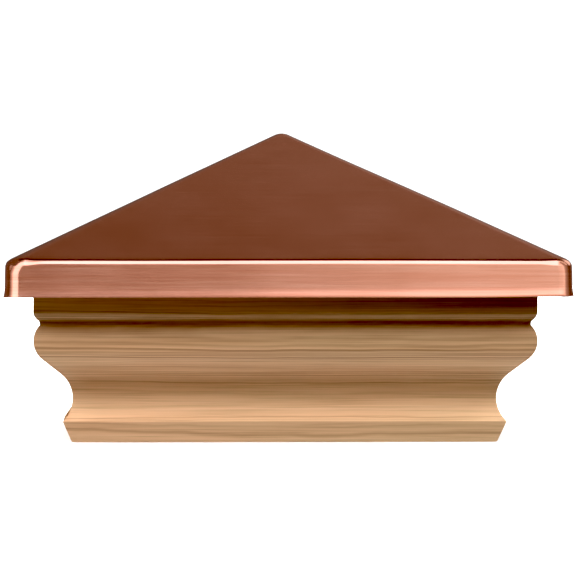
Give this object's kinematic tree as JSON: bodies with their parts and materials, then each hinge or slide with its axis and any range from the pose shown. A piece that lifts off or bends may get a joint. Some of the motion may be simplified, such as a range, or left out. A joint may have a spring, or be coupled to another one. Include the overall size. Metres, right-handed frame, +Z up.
{
  "type": "fence post cap",
  "caption": "Square fence post cap: a drawn copper pyramid with a short skirt, over a mitred frame of moulded cedar that drops over the top of a square wooden post.",
  "frame": {"origin": "centre of the square socket, on the plane of the mouldings' lower edges", "axes": "+Z up along the post, through the peak; the front faces -Y, and +X is to its right; the four sides are alike"},
  "size_m": [0.14, 0.14, 0.079],
  "materials": {
    "copper": "new sheet copper, finely brushed, semi-bright",
    "cedar": "planed western red cedar, unfinished",
    "plywood": "exterior plywood, unfinished",
    "adhesive": "cured construction adhesive, satin",
    "steel": "galvanised wire"
  },
  "bodies": {
    "root": {"copper_top": "copper", "top_board": "plywood", "moulding_front": "cedar", "moulding_right": "cedar", "moulding_back": "cedar", "moulding_left": "cedar", "adhesive_front": "adhesive", "adhesive_right": "adhesive", "adhesive_back": "adhesive", "adhesive_left": "adhesive", "brads_front": "steel", "brads_right": "steel", "brads_back": "steel", "brads_left": "steel", "mitre_pins_front_right": "steel", "mitre_pins_back_right": "steel", "mitre_pins_back_left": "steel", "mitre_pins_front_left": "steel"}
  },
  "joints": []
}
